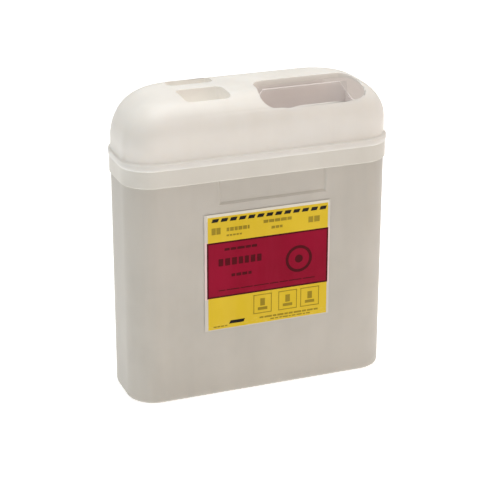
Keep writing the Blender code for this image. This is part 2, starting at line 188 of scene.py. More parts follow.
def makeHandlingWear():
    # scuffs, thickest at a chosen height, and light dust lying on faces that look up
    group, start, end = newGroup(
        "handlingWear",
        (
            ("Vector", "NodeSocketVector", (0, 0, 0)),
            ("Height", "NodeSocketFloat", 0.0),
            ("Reach", "NodeSocketFloat", 0.02),
        ),
        (("Scuff", "NodeSocketFloat"), ("Dust", "NodeSocketFloat")),
    )
    vector = start.outputs["Vector"]
    split = group.nodes.new("ShaderNodeSeparateXYZ")
    group.links.new(vector, split.inputs[0])
    away = mathNode(group, "SUBTRACT", split.outputs["Z"], start.outputs["Height"])
    away = mathNode(group, "DIVIDE", mathNode(group, "ABSOLUTE", away), start.outputs["Reach"])
    near = mathNode(group, "SUBTRACT", 1.0, away, clamp=True)
    lines = stretched(group, vector, wearValues["scuffStretch"])
    lines = noiseNode(group, lines, wearValues["scuffScale"], 4.0, 0.7)
    scuff = mathNode(group, "MULTIPLY", spread(group, lines, *wearValues["scuffRange"]), near)
    geometry = group.nodes.new("ShaderNodeNewGeometry")
    normal = group.nodes.new("ShaderNodeSeparateXYZ")
    group.links.new(geometry.outputs["Normal"], normal.inputs[0])
    up = spread(group, normal.outputs["Z"], *wearValues["upRange"])
    specks = noiseNode(group, vector, wearValues["speckScale"], 5.0, 0.75)
    specks = spread(group, specks, *wearValues["speckRange"])
    group.links.new(scuff, end.inputs["Scuff"])
    group.links.new(mathNode(group, "MULTIPLY", specks, up), end.inputs["Dust"])
    return group


mouldGrain = makeMouldGrain()
handlingWear = makeHandlingWear()


def mixColour(tree, factor, a, b):
    node = tree.nodes.new("ShaderNodeMix")
    node.data_type = "RGBA"
    tree.links.new(factor, node.inputs[0])
    for socket, value in ((node.inputs[6], a), (node.inputs[7], b)):
        if isinstance(value, tuple):
            socket.default_value = (*value, 1.0)
        else:
            tree.links.new(value, socket)
    return node.outputs[2]


def makeFinish(name, values):
    # one moulded, printed or metal finish: cloudy colour, flow marks, scuffs, dust, grain bump, and
    # a painted glow (emission) that brightens faces lying in shade
    made = bpy.data.materials.new(name)
    made.use_nodes = True
    tree = made.node_tree
    shader = tree.nodes["Principled BSDF"]
    where = tree.nodes.new("ShaderNodeTexCoord").outputs["Object"]
    grain = tree.nodes.new("ShaderNodeGroup")
    grain.node_tree = mouldGrain
    grain.inputs["Grain Scale"].default_value = values["grainScale"]
    tree.links.new(where, grain.inputs["Vector"])
    wear = tree.nodes.new("ShaderNodeGroup")
    wear.node_tree = handlingWear
    wear.inputs["Height"].default_value = values["wearHeight"]
    wear.inputs["Reach"].default_value = values["wearReach"]
    tree.links.new(where, wear.inputs["Vector"])

    colour = mixColour(tree, grain.outputs["Cloud"], values["dark"], values["light"])
    flow = mathNode(tree, "MULTIPLY", grain.outputs["Flow"], values["flow"])
    colour = mixColour(tree, flow, colour, values["flowColour"])
    scuff = mathNode(tree, "MULTIPLY", wear.outputs["Scuff"], values["scuff"])
    colour = mixColour(tree, scuff, colour, values["scuffColour"])
    dust = mathNode(tree, "MULTIPLY", wear.outputs["Dust"], values["dust"])
    colour = mixColour(tree, dust, colour, values["dustColour"])
    tree.links.new(colour, shader.inputs["Base Color"])

    rough = mathNode(tree, "MULTIPLY", grain.outputs["Cloud"], values["roughSpread"])
    rough = mathNode(tree, "ADD", rough, values["roughness"])
    scuffRough = mathNode(tree, "MULTIPLY", scuff, values["scuffRoughness"])
    rough = mathNode(tree, "ADD", rough, scuffRough, clamp=True)
    tree.links.new(rough, shader.inputs["Roughness"])
    shader.inputs["Metallic"].default_value = values["metallic"]
    shader.inputs["Specular IOR Level"].default_value = values["specular"]
    shader.inputs["Subsurface Weight"].default_value = values["subsurface"]
    shader.inputs["Subsurface Scale"].default_value = values["scatterDepth"]
    shader.inputs["Subsurface Radius"].default_value = values["scatterColour"]
    # painted light: emission in the finish's own light colour, which lifts faces that lie in shade
    shader.inputs["Emission Color"].default_value = (*values["light"], 1.0)
    shader.inputs["Emission Strength"].default_value = values["paintedGlow"]

    bump = tree.nodes.new("ShaderNodeBump")
    bump.inputs["Strength"].default_value = values["bump"]
    bump.inputs["Distance"].default_value = values["bumpDistance"]
    tree.links.new(grain.outputs["Height"], bump.inputs["Height"])
    tree.links.new(bump.outputs["Normal"], shader.inputs["Normal"])
    return made


plainFinish = {
    "dark": (0.5, 0.5, 0.5),
    "light": (0.6, 0.6, 0.6),
    "grainScale": 900.0,
    "wearHeight": 0.0,
    "wearReach": 0.02,
    "flow": 0.0,
    "flowColour": (0.8, 0.8, 0.8),
    "scuff": 0.0,
    "scuffColour": (0.8, 0.8, 0.8),
    "scuffRoughness": 0.25,
    "dust": 0.04,
    "dustColour": (0.62, 0.60, 0.56),
    "roughness": 0.4,
    "roughSpread": 0.08,
    "metallic": 0.0,
    "specular": 0.35,
    "subsurface": 0.0,
    "scatterDepth": 6.0 * mm,
    "scatterColour": (1.0, 0.9, 0.8),
    "paintedGlow": 0.0,  # painted light: emission that stands for light coming through the thin wall and brightens faces in shade
    "bump": 0.25,
    "bumpDistance": 0.0004,
}

finishValues = {
    "pearlPolypropylene": {
        "dark": (0.500, 0.486, 0.447), "light": (0.540, 0.524, 0.485),
        "flow": 0.12, "flowColour": (0.63, 0.60, 0.545),
        "wearHeight": 0.0, "wearReach": 0.016, "scuff": 0.5, "scuffColour": (0.70, 0.68, 0.64),
        "roughness": 0.40, "specular": 0.20, "subsurface": 0.35, "bump": 0.22,
        "bumpDistance": 0.0010,
    },
    "whitePolypropylene": {
        "dark": (0.765, 0.745, 0.700), "light": (0.805, 0.787, 0.745),
        "flow": 0.22, "flowColour": (0.83, 0.815, 0.78),
        "wearHeight": 0.2445, "wearReach": 0.004, "scuff": 0.5, "scuffColour": (0.86, 0.85, 0.82),
        "roughness": 0.38, "subsurface": 0.5, "bump": 0.20, "bumpDistance": 0.0009,
    },
    # painted light: a glowing copy of the polypropylene, so the shaded inside of the tub, the lid
    # and the cradle reads bright through the mouth
    "innerPolypropylenePaintedLight": {
        "dark": (0.720, 0.685, 0.655), "light": (0.760, 0.720, 0.690),
        "wearHeight": 0.2445, "wearReach": 0.004, "scuff": 0.3, "scuffColour": (0.82, 0.80, 0.77),
        "roughness": 0.42, "bump": 0.20, "bumpDistance": 0.0009, "dust": 0.0, "paintedGlow": 0.25,
    },
    # painted light: a glowing copy of the polypropylene on the cut faces of the mouth and the grip
    # pockets, brightening their shaded walls
    "pocketPolypropylenePaintedLight": {
        "dark": (0.750, 0.725, 0.680), "light": (0.790, 0.765, 0.720),
        "wearHeight": 0.30, "wearReach": 0.003, "scuff": 0.3, "scuffColour": (0.84, 0.82, 0.79),
        "roughness": 0.42, "bump": 0.20, "bumpDistance": 0.0009, "dust": 0.0, "paintedGlow": 0.19,
    },
    "skirtPolypropylene": {
        "dark": (0.655, 0.632, 0.575), "light": (0.700, 0.677, 0.620),
        "flow": 0.15, "flowColour": (0.74, 0.72, 0.67),
        "wearHeight": 0.2235, "wearReach": 0.003, "scuff": 0.5, "scuffColour": (0.80, 0.79, 0.75),
        "roughness": 0.38, "subsurface": 0.3, "bump": 0.20, "bumpDistance": 0.0009,
    },
    "trayPolypropylene": {
        "dark": (0.675, 0.632, 0.618), "light": (0.725, 0.680, 0.665),
        # painted light: a faint glow brightens the tray where it lies in shade inside the lid
        "flow": 0.2, "flowColour": (0.76, 0.70, 0.67), "paintedGlow": 0.05,
        "wearHeight": 0.2425, "wearReach": 0.012, "scuff": 0.6, "scuffColour": (0.66, 0.63, 0.60),
        "roughness": 0.42, "subsurface": 0.3, "bump": 0.2, "bumpDistance": 0.0006,
    },
    "acetal": {
        "dark": (0.74, 0.73, 0.69), "light": (0.80, 0.79, 0.76),
        "wearHeight": 0.266, "wearReach": 0.008, "scuff": 0.5, "scuffColour": (0.6, 0.59, 0.56),
        "roughness": 0.32, "bump": 0.15,
    },
    "zincSteel": {
        "dark": (0.52, 0.53, 0.54), "light": (0.66, 0.66, 0.65),
        "flow": 0.35, "flowColour": (0.45, 0.46, 0.48),
        "wearHeight": 0.258, "wearReach": 0.012, "scuff": 0.6, "scuffColour": (0.75, 0.74, 0.72),
        "roughness": 0.28, "roughSpread": 0.15, "metallic": 1.0, "specular": 0.5, "bump": 0.15,
    },
    "clearFilm": {
        "dark": (0.60, 0.575, 0.52), "light": (0.64, 0.615, 0.56),
        "wearHeight": 0.19, "wearReach": 0.01, "scuff": 0.3, "scuffColour": (0.85, 0.84, 0.80),
        "roughness": 0.30, "bump": 0.12, "dust": 0.0,
    },
    "paleInk": {
        "dark": (0.74, 0.71, 0.60), "light": (0.78, 0.76, 0.66),
        "roughness": 0.36, "bump": 0.10, "dust": 0.0, "specular": 0.15,
    },
    "pinkInk": {
        "dark": (0.76, 0.58, 0.58), "light": (0.80, 0.63, 0.62),
        "roughness": 0.36, "bump": 0.10, "dust": 0.0, "specular": 0.15,
    },
    "yellowInk": {
        "dark": (0.70, 0.500, 0.022), "light": (0.76, 0.55, 0.034),
        "flow": 0.15, "flowColour": (0.78, 0.56, 0.09),
        "wearHeight": 0.072, "wearReach": 0.010, "scuff": 0.45, "scuffColour": (0.80, 0.70, 0.36),
        "roughness": 0.36, "bump": 0.10, "dust": 0.0, "specular": 0.10,
    },
    "crimsonInk": {
        "dark": (0.255, 0.003, 0.022), "light": (0.310, 0.004, 0.030),
        "flow": 0.15, "flowColour": (0.36, 0.02, 0.05),
        "wearHeight": 0.104, "wearReach": 0.006, "scuff": 0.3, "scuffColour": (0.45, 0.08, 0.10),
        "roughness": 0.38, "bump": 0.10, "dust": 0.0, "specular": 0.06,
    },
    "maroonInk": {
        "dark": (0.070, 0.004, 0.008), "light": (0.105, 0.005, 0.011),
        "roughness": 0.40, "bump": 0.10, "dust": 0.0, "specular": 0.06,
    },
    "blackInk": {
        "dark": (0.012, 0.011, 0.010), "light": (0.030, 0.027, 0.022),
        "roughness": 0.38, "bump": 0.10, "dust": 0.0, "specular": 0.06,
    },
    "oliveInk": {
        "dark": (0.310, 0.225, 0.020), "light": (0.400, 0.295, 0.032),
        "roughness": 0.38, "bump": 0.10, "dust": 0.0, "specular": 0.06,
    },
}
finishes = {
    name: makeFinish(name, {**plainFinish, **values}) for name, values in finishValues.items()
}
print("finishes made:", len(finishes))


# mesh helpers
def cube(bm, low, high, slant=0.0):
    size = Vector(high) - Vector(low)
    middle = (Vector(high) + Vector(low)) / 2
    place = Matrix.Translation(middle) @ Matrix.Diagonal((*size, 1.0))
    made = bmesh.ops.create_cube(bm, size=1.0, matrix=place)
    for vert in made["verts"]:
        vert.co.x += slant * (vert.co.z - low[2])
    return made["verts"]


def roundEdges(bm, edges, radius, steps):
    bmesh.ops.bevel(
        bm, geom=edges, offset=radius, offset_type="OFFSET", affect="EDGES",
        segments=steps, profile=0.5, material=-1, clamp_overlap=True,
    )


def roundedFace(low, high, z, radii, steps):
    # flat rounded rectangle, the start of a stack of outlines
    bm = bmesh.new()
    middle = Vector(((low[0] + high[0]) / 2, (low[1] + high[1]) / 2, z))
    size = (high[0] - low[0], high[1] - low[1], 1.0, 1.0)
    bmesh.ops.create_grid(
        bm, x_segments=1, y_segments=1, size=0.5,
        matrix=Matrix.Translation(middle) @ Matrix.Diagonal(size),
    )
    for radius, side in zip(radii, (-1, 1)):
        corners = [v for v in bm.verts if side * (v.co.y - middle.y) > 0.49 * (high[1] - low[1])]
        bmesh.ops.bevel(
            bm, geom=corners, offset=radius, offset_type="OFFSET", affect="VERTICES",
            segments=steps, profile=0.5, material=-1,
        )
    bm.faces.ensure_lookup_table()
    return bm, bm.faces[0]


def stackOutlines(bm, face, rows):
    # each row is (left, right, front, rear, height): the last outline is grown and fitted to it
    left, right, front, rear, z = rows[0]
    bottom = face
    for row in rows[1:]:
        grown = bmesh.ops.extrude_face_region(bm, geom=[face])["geom"]
        if face is not bottom:
            bmesh.ops.delete(bm, geom=[face], context="FACES_ONLY")
        verts = [item for item in grown if isinstance(item, bmesh.types.BMVert)]
        face = [item for item in grown if isinstance(item, bmesh.types.BMFace)][0]
        was = Vector(((left + right) / 2, (front + rear) / 2, z))
        now = Vector(((row[0] + row[1]) / 2, (row[2] + row[3]) / 2, row[4]))
        grow = ((row[1] - row[0]) / (right - left), (row[3] - row[2]) / (rear - front), 1.0, 1.0)
        fit = Matrix.Translation(now) @ Matrix.Diagonal(grow) @ Matrix.Translation(-was)
        bmesh.ops.transform(bm, matrix=fit, verts=verts)
        left, right, front, rear, z = row
    bmesh.ops.recalc_face_normals(bm, faces=bm.faces)


def meshObject(name, bm, materials=()):
    mesh = bpy.data.meshes.new(name)
    bm.to_mesh(mesh)
    bm.free()
    for made in materials:
        mesh.materials.append(made)
    made = bpy.data.objects.new(name, mesh)
    scene.collection.objects.link(made)
    return made


def smoothFaces(piece, angle):
    piece.data.shade_smooth()
    piece.data.set_sharp_from_angle(angle=math.radians(angle))


def applyModifiers(piece):
    depsgraph = bpy.context.evaluated_depsgraph_get()
    mesh = bpy.data.meshes.new_from_object(piece.evaluated_get(depsgraph))
    piece.modifiers.clear()
    old = piece.data
    piece.data = mesh
    bpy.data.meshes.remove(old)


def subtract(piece, bm, inside=1):
    # cuts one shape away; the faces left by the cut get the material index inside
    for face in bm.faces:
        face.material_index = inside
    cutter = meshObject("cutter", bm, piece.data.materials[:])
    modifier = piece.modifiers.new("cut", "BOOLEAN")
    modifier.operation = "DIFFERENCE"
    modifier.solver = "EXACT"
    modifier.material_mode = "INDEX"
    modifier.object = cutter
    applyModifiers(piece)
    bpy.data.objects.remove(cutter, do_unlink=True)


def softenRims(piece, width, steps, angle):
    # rounds the edges where a cut meets the outer skin
    bm = bmesh.new()
    bm.from_mesh(piece.data)
    bmesh.ops.remove_doubles(bm, verts=bm.verts, dist=0.08 * mm)
    rims = []
    for edge in bm.edges:
        if len(edge.link_faces) != 2:
            continue
        kinds = {face.material_index for face in edge.link_faces}
        if 1 in kinds and len(kinds) == 2 and edge.calc_face_angle(0.0) > math.radians(angle):
            rims.append(edge)
    bmesh.ops.bevel(
        bm, geom=rims, offset=width, offset_type="OFFSET", affect="EDGES",
        segments=steps, profile=0.5, material=-1, clamp_overlap=False, loop_slide=True,
    )
    bm.to_mesh(piece.data)
    bm.free()


def finishPiece(piece, body, replaced=()):
    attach(piece, body)
    if replaced:
        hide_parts(*replaced)
    return piece


# tub
tub = {
    "wall": 2.0 * mm,
    "cornerSteps": 20,
    "baseRadius": 4.0 * mm,
    "baseSteps": 6,
    "smoothAngle": 24,
    "panelLeft": -47.5 * mm,
    "panelRight": 64.0 * mm,
    "panelBottom": 199.0 * mm,
    "panelTop": 231.0 * mm,
    "panelDepth": 1.4 * mm,
    "panelSlope": 2.4 * mm,
    "footInset": 9.0 * mm,
    "footRise": 1.2 * mm,
}


def makeTub():
    bm = bmesh.new()
    half = (shared["width"] / 2, shared["depth"] / 2)
    cube(bm, (-half[0], -half[1], 0.0), (half[0], half[1], shared["rim"]))
    top = [face for face in bm.faces if face.normal.z > 0.9]
    bmesh.ops.delete(bm, geom=top, context="FACES_ONLY")
    upright = [e for e in bm.edges if abs(e.verts[0].co.z - e.verts[1].co.z) > 0.1]
    for radius, side in ((shared["frontRadius"], -1), (shared["rearRadius"], 1)):
        corners = [e for e in upright if e.is_valid and side * e.verts[0].co.y > 0]
        roundEdges(bm, corners, radius, tub["cornerSteps"])
    base = [e for e in bm.edges if max(v.co.z for v in e.verts) < 0.001]
    roundEdges(bm, base, tub["baseRadius"], tub["baseSteps"])

    # foot ring: the middle of the base is set up into the tub
    floor = [f for f in bm.faces if f.normal.z < -0.9999]
    bmesh.ops.inset_region(bm, faces=floor, thickness=tub["footInset"], use_even_offset=True)
    bmesh.ops.inset_region(
        bm, faces=floor, thickness=tub["footRise"], depth=-tub["footRise"], use_even_offset=True
    )

    # recessed panel on the front wall
    cuts = (
        ((tub["panelLeft"], 0, 0), (1, 0, 0)),
        ((tub["panelRight"], 0, 0), (1, 0, 0)),
        ((0, 0, tub["panelBottom"]), (0, 0, 1)),
        ((0, 0, tub["panelTop"]), (0, 0, 1)),
    )
    for place, normal in cuts:
        front = [
            f for f in bm.faces
            if f.normal.y < -0.999 and f.calc_center_median().z > tub["baseRadius"]
        ]
        geom = front + list({e for f in front for e in f.edges}) + list(
            {v for f in front for v in f.verts}
        )
        bmesh.ops.bisect_plane(bm, geom=geom, plane_co=place, plane_no=normal)
    panel = []
    for face in bm.faces:
        centre = face.calc_center_median()
        inX = tub["panelLeft"] < centre.x < tub["panelRight"]
        inZ = tub["panelBottom"] < centre.z < tub["panelTop"]
        if face.normal.y < -0.999 and inX and inZ:
            panel.append(face)
    bmesh.ops.inset_region(
        bm, faces=panel, thickness=tub["panelSlope"], depth=-tub["panelDepth"],
        use_even_offset=True,
    )
    bmesh.ops.recalc_face_normals(bm, faces=bm.faces)

    # the inside faces take the finish with painted glow that brightens the shaded inside
    piece = meshObject(
        "tubShell", bm, (finishes["pearlPolypropylene"], finishes["innerPolypropylenePaintedLight"])
    )
    smoothFaces(piece, tub["smoothAngle"])
    wall = piece.modifiers.new("wall", "SOLIDIFY")
    wall.thickness = tub["wall"]
    wall.offset = -1.0
    wall.use_even_offset = True
    wall.material_offset = 1  # the inside face
    even = piece.modifiers.new("evenShade", "WEIGHTED_NORMAL")  # flat walls stay flat in shade
    even.mode = "FACE_AREA"
    even.keep_sharp = True
    return finishPiece(piece, "container", ("container_body",))


makeTub()
print("tub made")


# lid
lid = {
    "wall": 2.0 * mm,
    "cornerSteps": 20,
    "rows": 26,
    "leftShoulder": 43.0 * mm,
    "rightShoulder": 39.0 * mm,
    "frontShoulder": 31.0 * mm,
    "rearShoulder": 20.0 * mm,
    "skirtOutset": 1.7 * mm,
    "beadOutset": 2.3 * mm,
    "beadLow": 240.5 * mm,
    "beadHigh": 246.8 * mm,
    "rimWidth": 0.8 * mm,
    "rimSteps": 3,
    "rimAngle": 20,
    "smoothAngle": 32,
    "cutAbove": 5.0 * mm,  # how far a cutter stands out over the lid's top
    # outside, below the bead, inside, pockets and mouth
    "finishes": (
        "whitePolypropylene", "skirtPolypropylene", "innerPolypropylenePaintedLight", "pocketPolypropylenePaintedLight",
    ),
}

mouth = {
    "left": 6.0 * mm,
    "right": 109.0 * mm,
    "front": -44.5 * mm,
    "rear": 4.0 * mm,
    "radius": 12.0 * mm,
    "cornerSteps": 14,
    "flange": 6.0 * mm,
    "leftSlant": 7.0 * mm,  # how much further left the opening reaches at its front
    # places along the front edge (x, reach, how far the edge comes forward)
    "lipWaves": ((27.0 * mm, 7.0 * mm, 0.8 * mm), (84.0 * mm, 8.0 * mm, 0.6 * mm)),
    "lipCuts": 40,
}

grip = {
    "left": -73.0 * mm,
    "right": -27.0 * mm,
    "pockets": ((-32.0 * mm, 1.0 * mm), (17.5 * mm, 33.0 * mm)),
    "radius": 6.0 * mm,
    "depth": 20.0 * mm,
    "floorRadius": 4.0 * mm,
    "floorSteps": 5,
}


def inset(radius, below):
    if below >= radius:
        return 0.0
    return radius - math.sqrt(radius ** 2 - (radius - below) ** 2)


def bandRow(outset, z):
    x = shared["width"] / 2 + outset
    y = shared["depth"] / 2 + outset
    return (-x, x, -y, y, z)


def loafRows(wall):
    rows = []
    span = lid["leftShoulder"] - wall
    for step in range(lid["rows"] + 1):
        below = span * (1 - math.sin(math.radians(90 * step / lid["rows"])))
        rows.append((
            -shared["width"] / 2 + wall + inset(lid["leftShoulder"] - wall, below),
            shared["width"] / 2 - wall - inset(lid["rightShoulder"] - wall, below),
            -shared["depth"] / 2 + wall + inset(lid["frontShoulder"] - wall, below),
            shared["depth"] / 2 - wall - inset(lid["rearShoulder"] - wall, below),
            shared["height"] - wall - below,
        ))
    return rows


def stackedSolid(rows, radii, steps):
    left, right, front, rear, z = rows[0]
    bm, face = roundedFace((left, front), (right, rear), z, radii, steps)
    stackOutlines(bm, face, rows)
    return bm


def roundedBlock(left, right, front, rear, low, high, radius, steps=10):
    return stackedSolid(
        [(left, right, front, rear, low), (left, right, front, rear, high)],
        (radius, radius), steps,
    )


def pocketBlock(front, rear):
    bm = roundedBlock(
        grip["left"], grip["right"], front, rear,
        shared["height"] - grip["depth"], shared["height"] + lid["cutAbove"], grip["radius"],
    )
    low = shared["height"] - grip["depth"] + 0.1 * mm
    floor = [e for e in bm.edges if max(v.co.z for v in e.verts) < low]
    roundEdges(bm, floor, grip["floorRadius"], grip["floorSteps"])
    return bm


def slantedBlock(grow, low):
    # block of the opening's outline, grown sideways, with its left side at a slant
    bm = roundedBlock(
        mouth["left"] - grow, mouth["right"] + grow, mouth["front"] - grow,
        mouth["rear"] + grow, low, shared["height"] + lid["cutAbove"], mouth["radius"] + grow,
        mouth["cornerSteps"],
    )
    middle = (mouth["left"] + mouth["right"]) / 2
    for vert in bm.verts:
        if vert.co.x < middle:
            share = (mouth["rear"] - vert.co.y) / (mouth["rear"] - mouth["front"])
            fade = (middle - vert.co.x) / (middle - mouth["left"])
            vert.co.x -= mouth["leftSlant"] * max(share, 0.0) * min(fade, 1.0)
    return bm


def mouthBlock():
    # opening with its uneven front lip
    bm = slantedBlock(0.0, shared["height"] - lid["frontShoulder"])
    long = [
        e for e in bm.edges
        if abs(e.verts[0].co.x - e.verts[1].co.x) > 50 * mm
        and max(v.co.y for v in e.verts) < mouth["front"] + 1 * mm
    ]
    bmesh.ops.subdivide_edges(bm, edges=long, cuts=mouth["lipCuts"], use_grid_fill=True)
    for vert in bm.verts:
        if vert.co.y > mouth["front"] + 0.1 * mm:
            continue
        for place, reach, amount in mouth["lipWaves"]:
            away = (vert.co.x - place) / reach
            vert.co.y -= amount * math.exp(-away * away)
    return bm


def makeLid():
    top = lid["beadHigh"]
    lidFinishes = [finishes[name] for name in lid["finishes"]]
    # outlines from the skirt's lower edge up, over the bead, into the dome
    outer = [
        bandRow(lid["skirtOutset"] - 0.5 * mm, shared["skirtBottom"]),
        bandRow(lid["skirtOutset"], shared["skirtBottom"] + 0.6 * mm),
        bandRow(lid["skirtOutset"], lid["beadLow"] - 0.8 * mm),
        bandRow(lid["skirtOutset"] + 0.1 * mm, lid["beadLow"] - 0.3 * mm),
        bandRow(lid["beadOutset"] - 0.2 * mm, lid["beadLow"] + 0.2 * mm),
        bandRow(lid["beadOutset"], lid["beadLow"] + 0.9 * mm),
        bandRow(lid["beadOutset"], top - 1.3 * mm),
        bandRow(lid["beadOutset"] - 0.3 * mm, top - 0.5 * mm),
        bandRow(lid["skirtOutset"] - 0.4 * mm, top),
        bandRow(0.5 * mm, top + 0.5 * mm),
        bandRow(0.1 * mm, top + 1.2 * mm),
    ] + loafRows(0.0)
    piece = meshObject(
        "lidShell",
        stackedSolid(
            outer,
            (shared["frontRadius"] + lid["skirtOutset"], shared["rearRadius"] + lid["skirtOutset"]),
            lid["cornerSteps"],
        ),
        lidFinishes,
    )
    inner = [
        bandRow(shared["gap"], shared["skirtBottom"] - 1 * mm),
        bandRow(shared["gap"], shared["rim"] + shared["gap"]),
        bandRow(-lid["wall"], shared["rim"] + 2 * shared["gap"]),
    ] + loafRows(lid["wall"])
    hollow = meshObject(
        "lidHollow",
        stackedSolid(inner, (shared["frontRadius"], shared["rearRadius"]), lid["cornerSteps"]),
        lidFinishes,
    )
    wall = lid["wall"]
    subtract(hollow, slantedBlock(wall, shared["height"] - mouth["flange"]), 0)
    for front, rear in grip["pockets"]:
        subtract(hollow, roundedBlock(
            grip["left"] - wall, grip["right"] + wall, front - wall, rear + wall,
            shared["height"] - grip["depth"] - wall, shared["height"] + lid["cutAbove"],
            grip["radius"] + wall,
        ), 0)
    inside = bmesh.new()
    inside.from_mesh(hollow.data)
    bpy.data.objects.remove(hollow, do_unlink=True)
    subtract(piece, inside, 2)
    subtract(piece, mouthBlock())
    for front, rear in grip["pockets"]:
        subtract(piece, pocketBlock(front, rear))
    softenRims(piece, lid["rimWidth"], lid["rimSteps"], lid["rimAngle"])

    # cut faces take the pocket finish with its painted glow that brightens their shaded walls, and
    # the outside below the bead takes the skirt's
    for polygon in piece.data.polygons:
        if polygon.material_index == 1:
            polygon.material_index = 3
        elif polygon.material_index == 0:
            polygon.material_index = int(polygon.center.z < lid["beadLow"] - 0.2 * mm)
    smoothFaces(piece, lid["smoothAngle"])
    return finishPiece(piece, "container", ("lid_cap",))


makeLid()
print("lid made")


# drop tray
tray = {
    "left": 9.0 * mm,
    "right": 106.0 * mm,
    "radius": 23.5 * mm,
    "wall": 1.5 * mm,
    "segments": 72,
    "frontTop": 4.0 * mm,
    "rearTop": 17.0 * mm,
    "flangeTop": 27.0 * mm,
    "flangeInset": 8.0 * mm,
    "edgeRadius": 0.5 * mm,
    "edgeSteps": 2,
    "edgeAngle": 50,
    "smoothAngle": 30,
}


def makeTray():
    pivot = shared["pivot"]
    bm = bmesh.new()
    turn = Matrix.Rotation(math.radians(90), 4, "Y")
    bmesh.ops.create_cone(
        bm, cap_ends=True, segments=tray["segments"], radius1=tray["radius"],
        radius2=tray["radius"], depth=tray["right"] - tray["left"],
        matrix=Matrix.Translation(pivot) @ turn,
    )
    bmesh.ops.bisect_plane(
        bm, geom=bm.verts[:] + bm.edges[:] + bm.faces[:], plane_co=pivot, plane_no=(0, 0, 1),
        clear_outer=True,
    )
    rim = [e for e in bm.edges if e.is_boundary]
    grown = bmesh.ops.extrude_edge_only(bm, edges=rim)["geom"]
    for vert in (item for item in grown if isinstance(item, bmesh.types.BMVert)):
        share = (vert.co.y - pivot.y + tray["radius"]) / (2 * tray["radius"])
        vert.co.z += tray["frontTop"] + (tray["rearTop"] - tray["frontTop"]) * share
    rear = [
        e for e in bm.edges
        if e.is_boundary and min(v.co.y for v in e.verts) > pivot.y + tray["radius"] - 0.1 * mm
    ]
    grown = bmesh.ops.extrude_edge_only(bm, edges=rear)["geom"]
    for vert in (item for item in grown if isinstance(item, bmesh.types.BMVert)):
        vert.co.z = pivot.z + tray["flangeTop"]
        vert.co.x += tray["flangeInset"] if vert.co.x < pivot.x else -tray["flangeInset"]
    bmesh.ops.recalc_face_normals(bm, faces=bm.faces)
    piece = meshObject("trayShell", bm, (finishes["trayPolypropylene"],))
    smoothFaces(piece, tray["smoothAngle"])
    wall = piece.modifiers.new("wall", "SOLIDIFY")
    wall.thickness = tray["wall"]
    wall.offset = -1.0
    wall.use_even_offset = True
    edge = piece.modifiers.new("edge", "BEVEL")
    edge.width = tray["edgeRadius"]
    edge.segments = tray["edgeSteps"]
    edge.limit_method = "ANGLE"
    edge.angle_limit = math.radians(tray["edgeAngle"])
    return finishPiece(piece, "tray", ("drop_tray",))


makeTray()
print("tray made")


# label; its boxes are (left, right, low, high) in millimetres
label = {
    "faceY": -50.55 * mm,  # front of the clear film
    "layer": 0.06 * mm,
    "backing": 0.1 * mm,  # how far a patch reaches behind the film's front
    "film": (-62.5, 68.5, 70.0, 190.5),
    "yellow": (-59.0, 66.0, 70.8, 187.6),
    "margin": (-62.3, 68.3, 103.2, 162.6),
    "topStrip": (-60.0, 67.0, 184.0, 190.3),
    "band": (-60.0, 66.6, 104.0, 161.7),
    "bandBorder": 1.7,
    "dashes": 13,
    "dashFrom": (-51.4, 184.0),
    "dashTo": (60.6, 182.9),
    "dashSize": (6.4, 3.4),
    "dashShift": 0.7,
    "dashSlant": 0.45,
    "ringCentre": (35.6, 133.0),
    "ringRadius": 14.0,
    "ringWidth": 3.0,
    "ringSteps": 48,
    "dotRadius": 4.2,
    "dotSteps": 32,
    "ringLayers": 5,
    "frames": ((-11.9, 7.2), (14.4, 34.0), (37.9, 57.8)),
    "frameHeights": (81.0, 101.0),
    "frameLine": 0.7,
    "frameFoot": (5.0, 3.5, 6.5),  # half width, low and high above the frame's lower edge
    "framePost": (2.4, 8.0, 4.5),  # half width, low above the lower edge, top under the upper
    "squares": (
        (-55.1, -50.9, 169.8, 176.4), (-50.2, -46.0, 169.8, 176.4),
        (45.3, 50.2, 169.4, 175.3), (51.4, 57.1, 169.4, 175.3),
    ),
    # lines of small print: seed, left, right, middle, height, widths of a bar, space
    "oliveLines": (
        (3, -39.8, -16.3, 173.6, 3.6, (2.0, 5.0), 0.9),
        (4, -39.8, -24.0, 167.6, 1.6, (2.0, 4.0), 0.9),
        (5, -1.8, 27.4, 176.6, 3.0, (3.0, 6.0), 0.9),
        (6, 6.5, 18.0, 169.6, 2.6, (2.0, 4.0), 0.8),
        (8, -5.5, 56.7, 76.4, 1.8, (3.0, 8.0), 1.1),
        (9, 6.0, 50.0, 73.4, 1.2, (2.0, 6.0), 1.1),
        (10, -53.7, -39.2, 73.4, 1.2, (2.0, 4.0), 0.9),
    ),
    "bandLines": (
        (11, -42.0, -7.9, 153.4, 2.6, (3.0, 8.0), 1.0),
        (12, -48.2, -1.6, 140.4, 7.4, (4.2, 5.6), 1.9),
        (13, -34.9, -14.1, 126.0, 3.0, (3.0, 6.0), 1.2),
        (14, -48.3, 55.0, 111.3, 0.9, (6.0, 16.0), 1.4),
    ),
    "bar": (-37.5, -22.5, 75.0, 78.2),
    "barSlant": 0.5,
}


def layerY(level):
    return label["faceY"] - level * label["layer"]


def addPatch(bm, box, level, slant=0.0):
    left, right, low, high = (value * mm for value in box)
    cube(bm, (left, layerY(level), low), (right, label["faceY"] + label["backing"], high), slant)


def patchPiece(name, finish, boxes, level, slant=0.0, replaced=()):
    bm = bmesh.new()
    for box in boxes:
        addPatch(bm, box, level, slant)
    piece = meshObject(name, bm, (finishes[finish],))
    return finishPiece(piece, "container", replaced)


